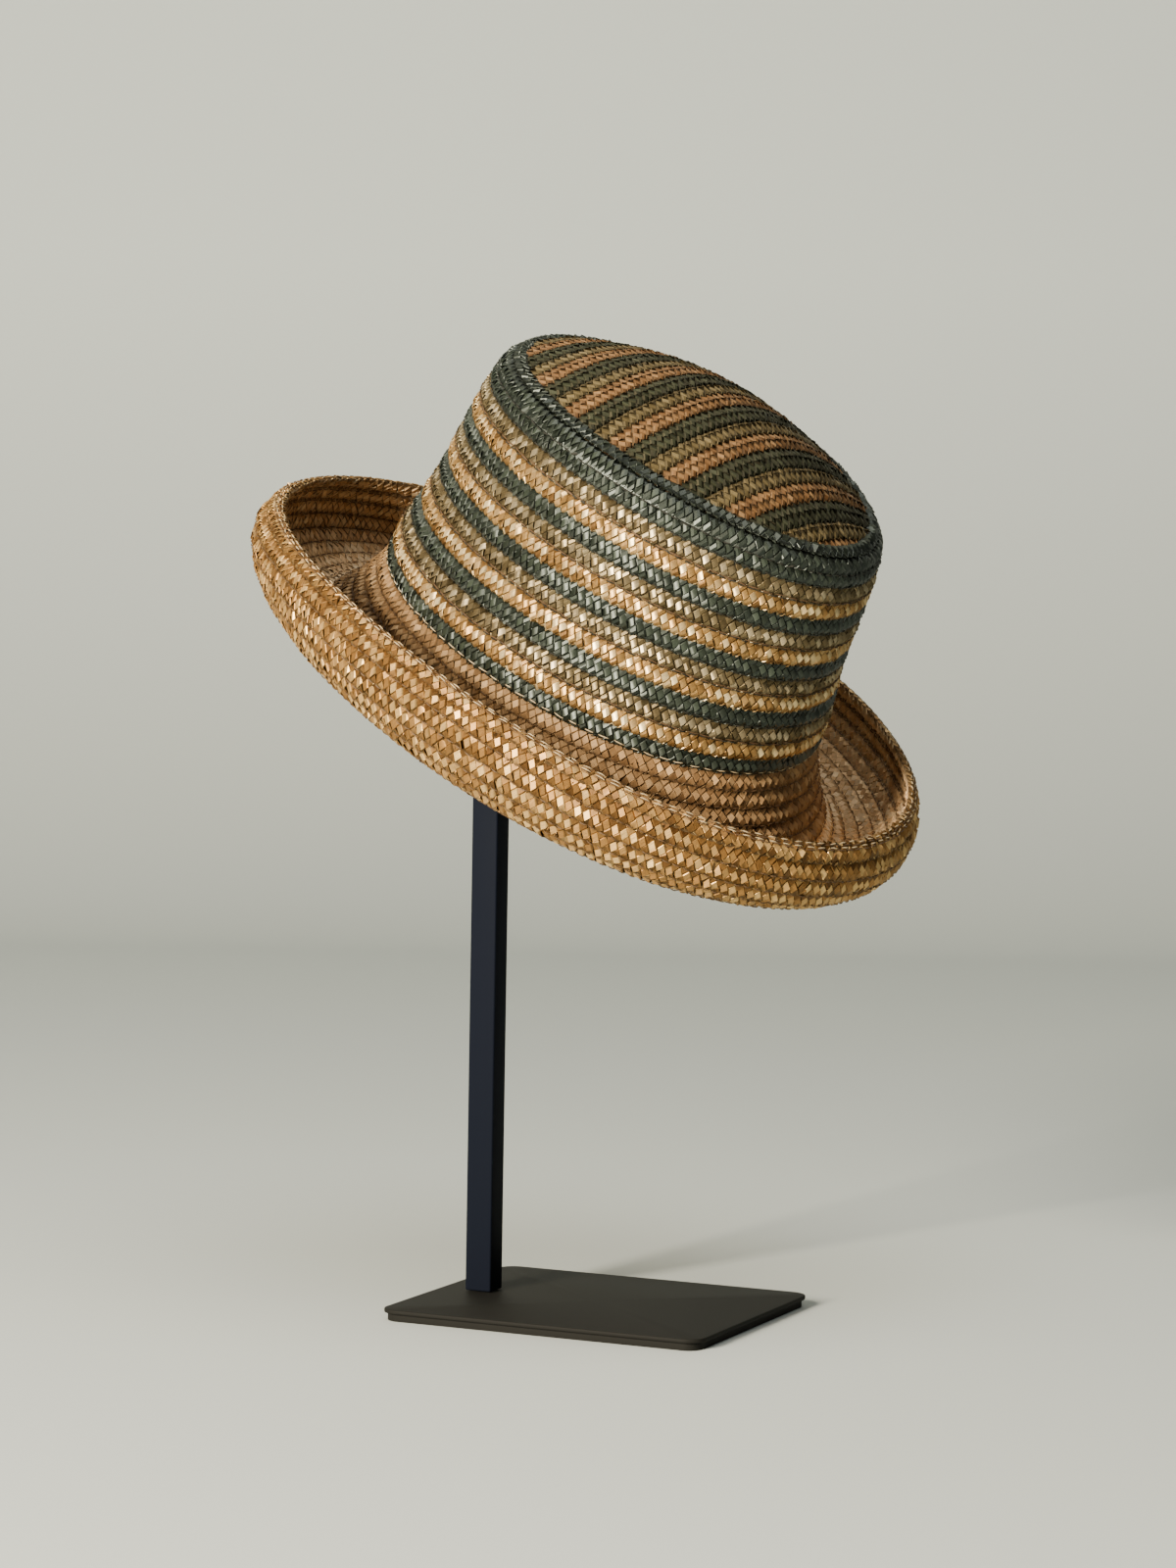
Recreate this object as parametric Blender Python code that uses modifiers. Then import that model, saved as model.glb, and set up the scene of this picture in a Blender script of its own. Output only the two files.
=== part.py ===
import math

import bmesh
import bpy
import numpy as np
from mathutils import Matrix, Vector

# A hat sewn from rows of plaited straw, on a plain steel display stand.
# Metres, +Z up. The origin is the middle of the stand base's underside.
# The hat is worked out in its own frame: X along its longer axis, Z up the crown,
# with the middle of the crown's lower edge at the frame's origin.

# Crown
CROWN_LENGTH = 0.2084
CROWN_WIDTH = 0.1726
CROWN_HEIGHT = 0.1015
END_TAPER = 0.0131
SIDE_TAPER = 0.0181
CROWN_SHIFT_X = 0.0035
CROWN_SHIFT_Y = 0.0024
DOME_RISE = 0.0226
DOME_POWER = 1.8
WALL = 0.0022
SHINGLE = 0.0009

# How far the side has drawn in at each height, as shares of the height and of the taper
SIDE_PROFILE = (
    {"height": 0.00, "drawn_in": 0.00},
    {"height": 0.12, "drawn_in": 0.00},
    {"height": 0.40, "drawn_in": 0.38},
    {"height": 0.80, "drawn_in": 0.62},
    {"height": 0.93, "drawn_in": 0.78},
    {"height": 1.00, "drawn_in": 1.00},
)

# Rows and strips of braid
SIDE_COLOURS = ("green", "tan", "olive")
SIDE_ROW_COUNT = 12
RIM_ROW_HEIGHT = 0.0111
RIDGE_DIAMETER = 0.0036
RIDGE_STAND_UP = 0.0010
TIP_STRIPS = (
    {"colour": "green", "width": 0.0102},
    {"colour": "olive", "width": 0.0082},
    {"colour": "tan", "width": 0.0091},
)
TIP_PATTERN_START = 0.0116
STRIP_CROWNING = 0.00035
NARROWEST_STRIP = 0.0035
STRIP_END_SHARE = 0.1

# Brim, measured on its underside from the crown's lower edge
BRIM_WIDTH = 0.0528
BRIM_DROP = 0.0384
ROLL_ACROSS = 0.0259
ROLL_UP = 0.0230
ROLL_END_DEGREES = 42.5
TROUGH_START_SHARE = 0.72
TROUGH_SLOPE_END_SHARE = 0.93
UPTURN_START_DEGREES = -40.0

# How far each edge leaves a plain flat oval, as shares of the size named with it:
# a tilt along the hat, a tilt across it, a saddle and a twist
EDGE_WAVES = {
    "base_of_crown_height": {"along": 0.018, "across": 0.002, "saddle": -0.005, "twist": 0.009},
    "top_of_crown_height": {"along": -0.014, "across": -0.003, "saddle": -0.016, "twist": -0.008},
    "width_of_brim_width": {"along": -0.057, "across": -0.007, "saddle": 0.129, "twist": -0.023},
    "edge_of_brim_drop": {"along": 0.065, "across": -0.270, "saddle": -0.096, "twist": 0.050},
}

# Where the hat sits on the stand
HAT_PLACE = (-0.0190, 0.0348, 0.2775)
LEAN_DEGREES = 29.8
LEAN_TOWARD_DEGREES = -23.3
TURN_DEGREES = 8.3

# Stand
BASE_LENGTH = 0.143
BASE_DEPTH = 0.123
BASE_THICKNESS = 0.005
BASE_TOP_SHEET = 0.0018
BASE_UNDERCUT = 0.0015
BASE_CORNER = 0.008
POST_WIDTH = 0.0118
POST_X = -0.0528
POST_BEND_HEIGHT = 0.335
HEAD_DISC_RADIUS = 0.028
HEAD_DISC_THICKNESS = 0.004
HEAD_DISC_GAP = 0.00043
ARM_WIDTH = 0.010

# Clearances and mesh fineness
GAP = 0.0003
STRIP_GAP = 0.0005
STRIP_END_GAP = 0.0004
ROUND_STEPS = 48
STRIP_STEPS = 9
DISC_STEPS = 24
CORNER_STEPS = 5
SHARP_DEGREES = 35

COLOURS = {
    "green": (0.045, 0.062, 0.052),
    "olive": (0.200, 0.155, 0.085),
    "tan": (0.520, 0.290, 0.120),
    "natural": (0.480, 0.270, 0.095),
    "steel": (0.012, 0.013, 0.015),
    "plate": (0.035, 0.035, 0.032),
}
STRAW_ROUGHNESS = 0.42
STEEL_ROUGHNESS = 0.50
STEEL_METALLIC = 0.6


def clear_scene():
    for thing in list(bpy.data.objects):
        bpy.data.objects.remove(thing, do_unlink=True)


def new_collection(name):
    group = bpy.data.collections.new(name)
    bpy.context.scene.collection.children.link(group)
    return group


def make_material(name, colour, roughness, metallic=0.0):
    material = bpy.data.materials.new(name)
    material.use_nodes = True
    shader = material.node_tree.nodes["Principled BSDF"]
    shader.inputs["Base Color"].default_value = (*colour, 1.0)
    shader.inputs["Roughness"].default_value = roughness
    shader.inputs["Metallic"].default_value = metallic
    return material


# The wave of one edge at an angle round the hat, as a share
def wave(name, angle):
    row = EDGE_WAVES[name]
    return (row["along"] * np.cos(angle) + row["across"] * np.sin(angle)
            + row["saddle"] * np.cos(2 * angle) + row["twist"] * np.sin(2 * angle))


# How far the crown's side has drawn in at a share of its height
def drawn_in(share):
    heights = [row["height"] for row in SIDE_PROFILE]
    shares = [row["drawn_in"] for row in SIDE_PROFILE]
    return np.interp(share, heights, shares)


# A point on the crown's side: share of the height, angle, and distance in from the surface
def crown_point(share, angle, inset=0.0):
    half_length = CROWN_LENGTH / 2 - END_TAPER * drawn_in(share) - inset
    half_width = CROWN_WIDTH / 2 - SIDE_TAPER * drawn_in(share) - inset
    lift = (wave("base_of_crown_height", angle) * (1 - share)
            + wave("top_of_crown_height", angle) * share)
    return (half_length * np.cos(angle) + CROWN_SHIFT_X * share,
            half_width * np.sin(angle) + CROWN_SHIFT_Y * share,
            CROWN_HEIGHT * (share + lift))


# The share of the crown's height at which the ridge's middle runs
def ridge_share():
    return (CROWN_HEIGHT + RIDGE_STAND_UP - RIDGE_DIAMETER / 2) / CROWN_HEIGHT


# Half the length and half the width of the panel that the strips fill
def tip_panel():
    edge = drawn_in(ridge_share())
    inset = RIDGE_DIAMETER + STRIP_END_GAP
    return (CROWN_LENGTH / 2 - END_TAPER * edge - inset,
            CROWN_WIDTH / 2 - SIDE_TAPER * edge - inset)


# Height of the domed tip's top surface over a point of the hat's plan
def dome_height(x, y):
    half_length, half_width = tip_panel()
    along = (x - CROWN_SHIFT_X) / half_length
    across = (y - CROWN_SHIFT_Y) / half_width
    out = min(math.hypot(along, across), 1.0)
    lift = wave("top_of_crown_height", math.atan2(across, along)) * out ** 2
    return CROWN_HEIGHT * (1 + lift) + DOME_RISE * (1 - out ** DOME_POWER)


# The brim's top surface as distance out from the crown and height, at a share of the slope
def slope_point(share):
    reach = BRIM_WIDTH - ROLL_ACROSS
    return reach * share, -(BRIM_DROP - WALL) * (1 - (1 - share) ** 2)


# The same surface where the brim rolls up, at an angle that starts straight down
def roll_point(degrees):
    turn = math.radians(degrees)
    return (BRIM_WIDTH - ROLL_ACROSS + (ROLL_ACROSS - WALL) * math.cos(turn),
            -BRIM_DROP + ROLL_UP + (ROLL_UP - WALL) * math.sin(turn))


# A point on the brim from its profile's distance out and height
def brim_point(out, height, angle):
    share = out / BRIM_WIDTH
    reach = out + BRIM_WIDTH * wave("width_of_brim_width", angle) * share
    lift = (CROWN_HEIGHT * wave("base_of_crown_height", angle)
            + BRIM_DROP * wave("edge_of_brim_drop", angle) * share ** 2)
    return ((CROWN_LENGTH / 2 + reach) * np.cos(angle),
            (CROWN_WIDTH / 2 + reach) * np.sin(angle),
            height + lift)


# Steps a profile back along itself, so that neighbours keep the small gap
def trim_profile(points, start=0.0, end=0.0):
    trimmed = [Vector(point) for point in points]
    trimmed[0] += (trimmed[1] - trimmed[0]).normalized() * start
    trimmed[-1] += (trimmed[-2] - trimmed[-1]).normalized() * end
    return [tuple(point) for point in trimmed]


def add_object(name, mesh, group, material, parent=None):
    thing = bpy.data.objects.new(name, mesh)
    group.objects.link(thing)
    thing.data.materials.append(material)
    thing.parent = parent
    mesh.shade_smooth()
    mesh.set_sharp_from_angle(angle=math.radians(SHARP_DEGREES))
    return thing


# A surface from rows of points. A closed one joins each row's last point to its first, and
# a solid one joins the last row to the first as well.
def surface_mesh(name, rows, closed, solid=False):
    mesh = bpy.data.meshes.new(name)
    shape = bmesh.new()
    grid = [[shape.verts.new(point) for point in row] for row in rows]
    steps = len(grid[0]) if closed else len(grid[0]) - 1
    if solid:
        grid.append(grid[0])
    for upper, lower in zip(grid, grid[1:]):
        for i in range(steps):
            j = (i + 1) % len(upper)
            shape.faces.new((upper[i], lower[i], lower[j], upper[j]))
    shape.to_mesh(mesh)
    shape.free()
    return mesh


# Gives an open surface the wall of the straw, on the side away from its normals
def add_wall(thing):
    solidify = thing.modifiers.new("straw wall", "SOLIDIFY")
    solidify.thickness = WALL
    solidify.offset = -1.0


def round_angles():
    return np.arange(ROUND_STEPS) * 2 * math.pi / ROUND_STEPS


# One row round the crown, its top edge tucked in under the row above
def make_side_row(name, bottom, top, group, material, parent):
    section = (
        {"height": top, "inset": SHINGLE},
        {"height": bottom, "inset": 0.0},
        {"height": bottom, "inset": WALL},
        {"height": top, "inset": SHINGLE + WALL},
    )
    rows = [list(zip(*crown_point(corner["height"] / CROWN_HEIGHT, round_angles(),
                                  corner["inset"])))
            for corner in section]
    add_object(name, surface_mesh(name, rows, True, solid=True), group, material, parent)


def side_rows_top():
    return CROWN_HEIGHT - RIDGE_DIAMETER + RIDGE_STAND_UP - GAP - RIM_ROW_HEIGHT


def make_crown_side(group, materials, parent):
    pitch = side_rows_top() / SIDE_ROW_COUNT
    for row in range(SIDE_ROW_COUNT):
        colour = SIDE_COLOURS[row % len(SIDE_COLOURS)]
        number = SIDE_ROW_COUNT - row
        make_side_row(f"side_row_{number:02d}_{colour}", row * pitch, (row + 1) * pitch - GAP,
                      group, materials[colour], parent)
    make_side_row("rim_row", side_rows_top(), side_rows_top() + RIM_ROW_HEIGHT, group,
                  materials["green"], parent)


# The round ridge along the crown's top edge, as a closed tube
def make_rim_ridge(group, material, parent):
    curve = bpy.data.curves.new("rim_ridge", "CURVE")
    curve.dimensions = "3D"
    curve.bevel_depth = RIDGE_DIAMETER / 2
    curve.bevel_resolution = 1
    curve.twist_mode = "Z_UP"
    spline = curve.splines.new("POLY")
    spline.points.add(ROUND_STEPS - 1)
    places = zip(*crown_point(ridge_share(), round_angles(), RIDGE_DIAMETER / 2))
    for point, place in zip(spline.points, places):
        point.co = (*place, 1.0)
    spline.use_cyclic_u = True
    tube = bpy.data.objects.new("rim_ridge", curve)
    group.objects.link(tube)
    curve.materials.append(material)
    tube.parent = parent


# Plan positions along the tip for distances measured over its domed surface
def plan_position(distance):
    half_length = CROWN_LENGTH / 2 - END_TAPER
    plan = np.linspace(0.0, half_length, 200)
    rise = DOME_RISE * (1 - (plan / half_length) ** DOME_POWER)
    steps = np.hypot(np.diff(plan), np.diff(rise))
    travelled = np.concatenate(([0.0], np.cumsum(steps)))
    return math.copysign(np.interp(abs(distance), travelled, plan), distance)


# The edges and colours of the strips, in order along the tip
def strip_edges():
    pattern = sum(strip["width"] for strip in TIP_STRIPS)
    half_length = tip_panel()[0]
    distance = TIP_PATTERN_START - pattern * math.ceil(CROWN_LENGTH / pattern)
    found = []
    while plan_position(distance) < half_length:
        for strip in TIP_STRIPS:
            start = max(plan_position(distance), -half_length)
            end = min(plan_position(distance + strip["width"]), half_length)
            if end - start > NARROWEST_STRIP:
                found.append([start, end, strip["colour"]])
            distance += strip["width"]
    found[0][0] = -half_length
    found[-1][1] = half_length
    return found


# One straight strip, its ends cut to the oval panel and its middle slightly raised
def make_tip_strip(name, start, end, group, material, parent):
    half_length, half_width = tip_panel()
    columns = (start + STRIP_GAP / 2, (start + end) / 2, end - STRIP_GAP / 2)
    raised = (0.0, STRIP_CROWNING, 0.0)
    rows = []
    for x, lift in zip(columns, raised):
        across = math.sqrt(max(1 - (x / half_length) ** 2, 0.0))
        reach = half_width * max(across, STRIP_END_SHARE)
        row = []
        for step in range(STRIP_STEPS + 1):
            y = reach * (2 * step / STRIP_STEPS - 1)
            place_x = x + CROWN_SHIFT_X
            place_y = y + CROWN_SHIFT_Y
            row.append((place_x, place_y, dome_height(place_x, place_y) + lift))
        rows.append(row)
    thing = add_object(name, surface_mesh(name, rows, False), group, material, parent)
    add_wall(thing)


def make_tip(group, materials, parent):
    for number, (start, end, colour) in enumerate(strip_edges(), start=1):
        make_tip_strip(f"tip_strip_{number:02d}_{colour}", start, end, group,
                       materials[colour], parent)


# A band of the brim that follows the given stretch of its profile
def make_brim_band(name, profile, group, material, parent):
    angles = round_angles()
    rows = [list(zip(*brim_point(out, height, angles))) for out, height in profile]
    thing = add_object(name, surface_mesh(name, rows, True), group, material, parent)
    add_wall(thing)


def make_brim(group, material, parent):
    slope = [slope_point(share) for share in np.linspace(0.0, TROUGH_START_SHARE, 4)]
    trough = [slope_point(share) for share in
              np.linspace(TROUGH_START_SHARE, TROUGH_SLOPE_END_SHARE, 3)]
    trough += [roll_point(turn) for turn in np.linspace(-90.0, UPTURN_START_DEGREES, 4)]
    upturn = [roll_point(turn) for turn in
              np.linspace(UPTURN_START_DEGREES, ROLL_END_DEGREES, 5)]
    bands = {
        "brim_slope": trim_profile(slope, start=GAP, end=GAP / 2),
        "brim_trough": trim_profile(trough, start=GAP / 2, end=GAP / 2),
        "brim_upturn": trim_profile(upturn, start=GAP / 2),
    }
    for name, profile in bands.items():
        make_brim_band(name, profile, group, material, parent)


def hat_matrix():
    return (Matrix.Translation(HAT_PLACE)
            @ Matrix.Rotation(math.radians(LEAN_TOWARD_DEGREES), 4, "Z")
            @ Matrix.Rotation(math.radians(LEAN_DEGREES), 4, "Y")
            @ Matrix.Rotation(math.radians(TURN_DEGREES), 4, "Z"))


def make_hat_frame(group):
    frame = bpy.data.objects.new("hat_frame", None)
    group.objects.link(frame)
    frame.matrix_world = hat_matrix()
    return frame


# A box between two heights, with its upright edges rounded
def rounded_box(name, length, depth, bottom, top, corner):
    shape = bmesh.new()
    bmesh.ops.create_cube(shape, size=1.0)
    bmesh.ops.scale(shape, vec=(length, depth, top - bottom), verts=shape.verts)
    bmesh.ops.translate(shape, vec=(0, 0, (top + bottom) / 2), verts=shape.verts)
    upright = [edge for edge in shape.edges
               if abs(edge.verts[0].co.z - edge.verts[1].co.z) > (top - bottom) / 2]
    bmesh.ops.bevel(shape, geom=upright, offset=corner, segments=CORNER_STEPS, profile=0.5,
                    affect="EDGES")
    mesh = bpy.data.meshes.new(name)
    shape.to_mesh(mesh)
    shape.free()
    return mesh


def add_cutter(name, mesh, cutters):
    cutter = bpy.data.objects.new(name, mesh)
    cutters.objects.link(cutter)
    cutter.hide_render = True
    cutter.display_type = "WIRE"
    return cutter


def join_to(thing, other):
    union = thing.modifiers.new("join " + other.name, "BOOLEAN")
    union.operation = "UNION"
    union.solver = "EXACT"
    union.object = other


# The base: a thin top sheet over a slightly smaller foot
def make_stand_base(group, cutters, material):
    sheet_bottom = BASE_THICKNESS - BASE_TOP_SHEET
    sheet = rounded_box("stand_base", BASE_LENGTH, BASE_DEPTH, sheet_bottom, BASE_THICKNESS,
                        BASE_CORNER)
    foot = rounded_box("base foot", BASE_LENGTH - 2 * BASE_UNDERCUT,
                       BASE_DEPTH - 2 * BASE_UNDERCUT, 0.0,
                       sheet_bottom + BASE_TOP_SHEET / 2, BASE_CORNER - BASE_UNDERCUT)
    base = add_object("stand_base", sheet, group, material)
    join_to(base, add_cutter("base foot", foot, cutters))


# A square bar between two points
def bar_mesh(name, start, end, width):
    run = Vector(end) - Vector(start)
    shape = bmesh.new()
    bmesh.ops.create_cube(shape, size=1.0)
    bmesh.ops.scale(shape, vec=(width, width, run.length), verts=shape.verts)
    turn = run.to_track_quat("Z", "Y").to_matrix().to_4x4()
    middle = Matrix.Translation((Vector(start) + Vector(end)) / 2)
    bmesh.ops.transform(shape, matrix=middle @ turn, verts=shape.verts)
    mesh = bpy.data.meshes.new(name)
    shape.to_mesh(mesh)
    shape.free()
    return mesh


# How high the disc's top face can lie under the domed tip without meeting it
def disc_top():
    around = np.arange(DISC_STEPS) * 2 * math.pi / DISC_STEPS
    lowest = min(dome_height(CROWN_SHIFT_X + HEAD_DISC_RADIUS * math.cos(turn),
                             CROWN_SHIFT_Y + HEAD_DISC_RADIUS * math.sin(turn))
                 for turn in around)
    return lowest - WALL - HEAD_DISC_GAP


def disc_mesh(name, place):
    shape = bmesh.new()
    bmesh.ops.create_cone(shape, cap_ends=True, segments=DISC_STEPS, radius1=HEAD_DISC_RADIUS,
                          radius2=HEAD_DISC_RADIUS, depth=HEAD_DISC_THICKNESS)
    bmesh.ops.transform(shape, matrix=place, verts=shape.verts)
    mesh = bpy.data.meshes.new(name)
    shape.to_mesh(mesh)
    shape.free()
    return mesh


# The post, with the plain arm and disc inside the crown that carry the hat
def make_stand_post(group, cutters, material):
    disc_middle = Vector((CROWN_SHIFT_X, CROWN_SHIFT_Y, disc_top() - HEAD_DISC_THICKNESS / 2))
    disc_place = hat_matrix() @ Matrix.Translation(disc_middle)
    bend = Vector((POST_X, 0.0, POST_BEND_HEIGHT))
    post = bar_mesh("stand_post", (POST_X, 0.0, BASE_THICKNESS + GAP),
                    bend + Vector((0, 0, POST_WIDTH / 2)), POST_WIDTH)
    arm_end = hat_matrix() @ disc_middle
    arm = bar_mesh("post arm", bend, arm_end, ARM_WIDTH)
    thing = add_object("stand_post", post, group, material)
    join_to(thing, add_cutter("post arm", arm, cutters))
    join_to(thing, add_cutter("post disc", disc_mesh("post disc", disc_place), cutters))


def main():
    clear_scene()
    group = new_collection("straw hat on a display stand")
    cutters = new_collection("cutters")
    materials = {name: make_material(name + " straw", colour, STRAW_ROUGHNESS)
                 for name, colour in COLOURS.items() if name not in ("steel", "plate")}
    post_steel = make_material("black steel", COLOURS["steel"], STEEL_ROUGHNESS, STEEL_METALLIC)
    plate_steel = make_material("plate steel", COLOURS["plate"], STEEL_ROUGHNESS,
                                STEEL_METALLIC)
    hat_frame = make_hat_frame(group)
    make_tip(group, materials, hat_frame)
    make_rim_ridge(group, materials["green"], hat_frame)
    make_crown_side(group, materials, hat_frame)
    make_brim(group, materials["natural"], hat_frame)
    make_stand_base(group, cutters, plate_steel)
    make_stand_post(group, cutters, post_steel)


main()
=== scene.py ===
import math

import bpy
import numpy as np
from mathutils import Matrix, Vector


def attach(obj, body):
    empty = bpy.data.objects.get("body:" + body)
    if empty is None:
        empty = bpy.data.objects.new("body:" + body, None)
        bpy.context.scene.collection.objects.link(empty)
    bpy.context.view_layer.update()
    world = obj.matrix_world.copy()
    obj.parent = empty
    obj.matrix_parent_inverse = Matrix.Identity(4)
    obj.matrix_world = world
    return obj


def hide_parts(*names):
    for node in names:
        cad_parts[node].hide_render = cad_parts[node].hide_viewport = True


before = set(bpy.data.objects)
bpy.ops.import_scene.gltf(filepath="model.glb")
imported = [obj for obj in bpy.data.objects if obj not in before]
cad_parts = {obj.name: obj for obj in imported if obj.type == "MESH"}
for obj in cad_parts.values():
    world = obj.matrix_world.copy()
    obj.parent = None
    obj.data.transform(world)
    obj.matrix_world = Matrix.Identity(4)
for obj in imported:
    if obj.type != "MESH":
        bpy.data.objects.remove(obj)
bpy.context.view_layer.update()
print("frame loaded:", len(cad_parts), "solids")

rng = np.random.default_rng(7)

# where the hat sits: its own frame has X along the long axis and Z up the crown
hatPlace = {"at": (-0.0190, 0.0348, 0.2775), "turn": 8.3, "lean": 29.8, "leanToward": -23.3}

# the same crown and brim as the solids
crown = {
    "halfLength": 0.1042, "halfWidth": 0.0863, "height": 0.1015,
    "endTaper": 0.0131, "sideTaper": 0.0181, "shiftX": 0.0035, "shiftY": 0.0024,
    "domeRise": 0.0226, "domePower": 1.8, "wall": 0.0022,
    "profileHeights": (0.0, 0.12, 0.40, 0.80, 0.93, 1.0),
    "profileDrawnIn": (0.0, 0.0, 0.38, 0.62, 0.78, 1.0),
}
brim = {
    "width": 0.0528, "drop": 0.0384, "rollAcross": 0.0259, "rollUp": 0.0230,
    "rollEnd": 42.5, "rows": 14,
}
waves = {
    "base": (0.018, 0.002, -0.005, 0.009),
    "top": (-0.014, -0.003, -0.016, -0.008),
    "width": (-0.057, -0.007, 0.129, -0.023),
    "edge": (0.065, -0.270, -0.096, 0.050),
}


def turned(axis, degrees):
    return np.array(Matrix.Rotation(math.radians(degrees), 3, axis))


hatTurn = turned("Z", hatPlace["leanToward"]) @ turned("Y", hatPlace["lean"]) @ turned("Z", hatPlace["turn"])


def onStand(points):
    # hat frame to part frame: turn, then shift
    return points @ hatTurn.T + np.array(hatPlace["at"])


def wave(name, angle):
    # a cos(t) + b sin(t) + c cos(2t) + d sin(2t)
    along, across, saddle, twist = waves[name]
    return (along * np.cos(angle) + across * np.sin(angle)
            + saddle * np.cos(2 * angle) + twist * np.sin(2 * angle))


def crownSide(height, angle):
    # an oval that draws in with height, given at the middle of the straw wall
    share = height / crown["height"]
    drawnIn = np.interp(share, crown["profileHeights"], crown["profileDrawnIn"])
    inset = crown["wall"] / 2
    halfLength = crown["halfLength"] - crown["endTaper"] * drawnIn - inset
    halfWidth = crown["halfWidth"] - crown["sideTaper"] * drawnIn - inset
    lift = wave("base", angle) * (1 - share) + wave("top", angle) * share
    return np.stack([halfLength * np.cos(angle) + crown["shiftX"] * share,
                     halfWidth * np.sin(angle) + crown["shiftY"] * share,
                     crown["height"] * (share + lift)], axis=-1)


ridge = {"diameter": 0.0036, "standUp": 0.0010, "endGap": 0.0004}
ridgeHeight = crown["height"] + ridge["standUp"] - ridge["diameter"] / 2


def tipPanel():
    # half length and half width of the oval that the tip's strips fill
    drawnIn = np.interp(ridgeHeight / crown["height"], crown["profileHeights"], crown["profileDrawnIn"])
    inset = ridge["diameter"] + ridge["endGap"]
    return (crown["halfLength"] - crown["endTaper"] * drawnIn - inset,
            crown["halfWidth"] - crown["sideTaper"] * drawnIn - inset)


def tipDome(x, y):
    # height falls as rho to the dome's power from the middle to the panel's edge
    halfLength, halfWidth = tipPanel()
    rho = np.minimum(np.hypot(x / halfLength, y / halfWidth), 1.0)
    angle = np.arctan2(y / halfWidth, x / halfLength)
    height = (crown["height"] * (1 + wave("top", angle) * rho ** 2)
              + crown["domeRise"] * (1 - rho ** crown["domePower"]) - crown["wall"] / 2)
    return np.stack([x + crown["shiftX"], y + crown["shiftY"], height], axis=-1)


def brimProfile():
    # out and height along the brim's top face: a parabola that levels off, then an arc that rolls up
    wall = crown["wall"]
    reach = brim["width"] - brim["rollAcross"]
    share = np.linspace(0, 1, 120)
    turn = np.radians(np.linspace(-90, brim["rollEnd"], 160))[1:]
    out = np.concatenate([reach * share, reach + (brim["rollAcross"] - wall) * np.cos(turn)])
    height = np.concatenate([-(brim["drop"] - wall) * (1 - (1 - share) ** 2),
                             -brim["drop"] + brim["rollUp"] + (brim["rollUp"] - wall) * np.sin(turn)])
    # move half a wall down, square to the profile, to the middle of the straw
    slopeOut, slopeUp = np.gradient(out), np.gradient(height)
    size = np.hypot(slopeOut, slopeUp)
    out, height = out + slopeUp / size * wall / 2, height - slopeOut / size * wall / 2
    travelled = np.concatenate([[0], np.cumsum(np.hypot(np.diff(out), np.diff(height)))])
    return travelled, out, height


brimTravelled, brimOut, brimHeight = brimProfile()
brimLength = brimTravelled[-1]
brimPitch = brimLength / brim["rows"]


def brimSurface(distance, angle):
    # the profile carried round the crown's oval, with the edge's waves growing outwards
    out = np.interp(distance, brimTravelled, brimOut)
    height = np.interp(distance, brimTravelled, brimHeight)
    over = np.clip(distance - brimLength, 0, None)
    under = np.clip(-distance, 0, None)
    endOut, endUp = brimOut[-1] - brimOut[-2], brimHeight[-1] - brimHeight[-2]
    endSize = math.hypot(endOut, endUp)
    out = out + over * endOut / endSize
    height = height + over * endUp / endSize + under
    share = out / brim["width"]
    reach = out + brim["width"] * wave("width", angle) * share
    lift = crown["height"] * wave("base", angle) + brim["drop"] * wave("edge", angle) * share ** 2
    return np.stack([(crown["halfLength"] + reach) * np.cos(angle),
                     (crown["halfWidth"] + reach) * np.sin(angle), height + lift], axis=-1)


# the plait's relief, as shares of its weave's layer, then the braid's section in metres, then its tints,
# painted sheen and painted shade
plait = {
    "lift": 0.19, "roof": 0.08, "strawEdge": 0.12, "flatTo": 0.72, "dip": 1.1, "dipEnd": 1.18,
    "tilt": 0.080, "lean": 0.13, "stray": 0.045, "edgeFrom": 0.95,
    "braidThickness": 0.0030, "overlap": 0.0019, "sectionPower": 2.05, "shingle": 0.17,
    "core": 0.00022, "coreSides": 12, "coreTint": 0.3, "coreShade": 0.05,
    "strawTint": 0.25, "cellTint": 0.45, "paintedSheen": 0.26,
    "edgeDark": 0.92, "edgeShare": 0.40, "strawEdgeDark": 0.14, "sharpAngle": 20,
}
# metres along the row for each crossing, metres round the section for each layer of straws, and the
# places of a straw's points along it, as shares of half its length between crossings
weaves = {
    "crown": {"pitch": 0.0038, "layer": 0.0025, "along": (-1.18, -0.74, 0.0, 0.74, 1.18)},
    "rim": {"pitch": 0.0034, "layer": 0.0023, "along": (-1.18, -0.74, 0.74, 1.18)},
    "tip": {"pitch": 0.0034, "layer": 0.0023, "along": (-1.18, -0.74, 0.74, 1.18)},
    "brim": {"pitch": 0.0040, "layer": 0.0026, "along": (-1.18, -0.74, 0.74, 1.18)},
}
# a fine straw has a narrow edge strip on both sides, and a plain one, on the hidden back, has none
fineAcross = np.array([-1.0, -0.86, 0.86, 1.0])
plainAlong = np.array([-1.1, -0.4, 0.4, 1.1])
plainAcross = np.array([-1.0, 1.0])


def sectionLoop(halfWidth, halfThickness, power):
    # a superellipse round the braid's section, by distance from its lower edge round the outer face
    turn = np.linspace(0, 2 * math.pi, 1601)
    across = halfWidth * np.sign(np.cos(turn)) * np.abs(np.cos(turn)) ** (2 / power)
    out = halfThickness * np.sign(np.sin(turn)) * np.abs(np.sin(turn)) ** (2 / power)
    travelled = np.concatenate([[0], np.cumsum(np.hypot(np.diff(across), np.diff(out)))])
    return travelled, across, out


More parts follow.
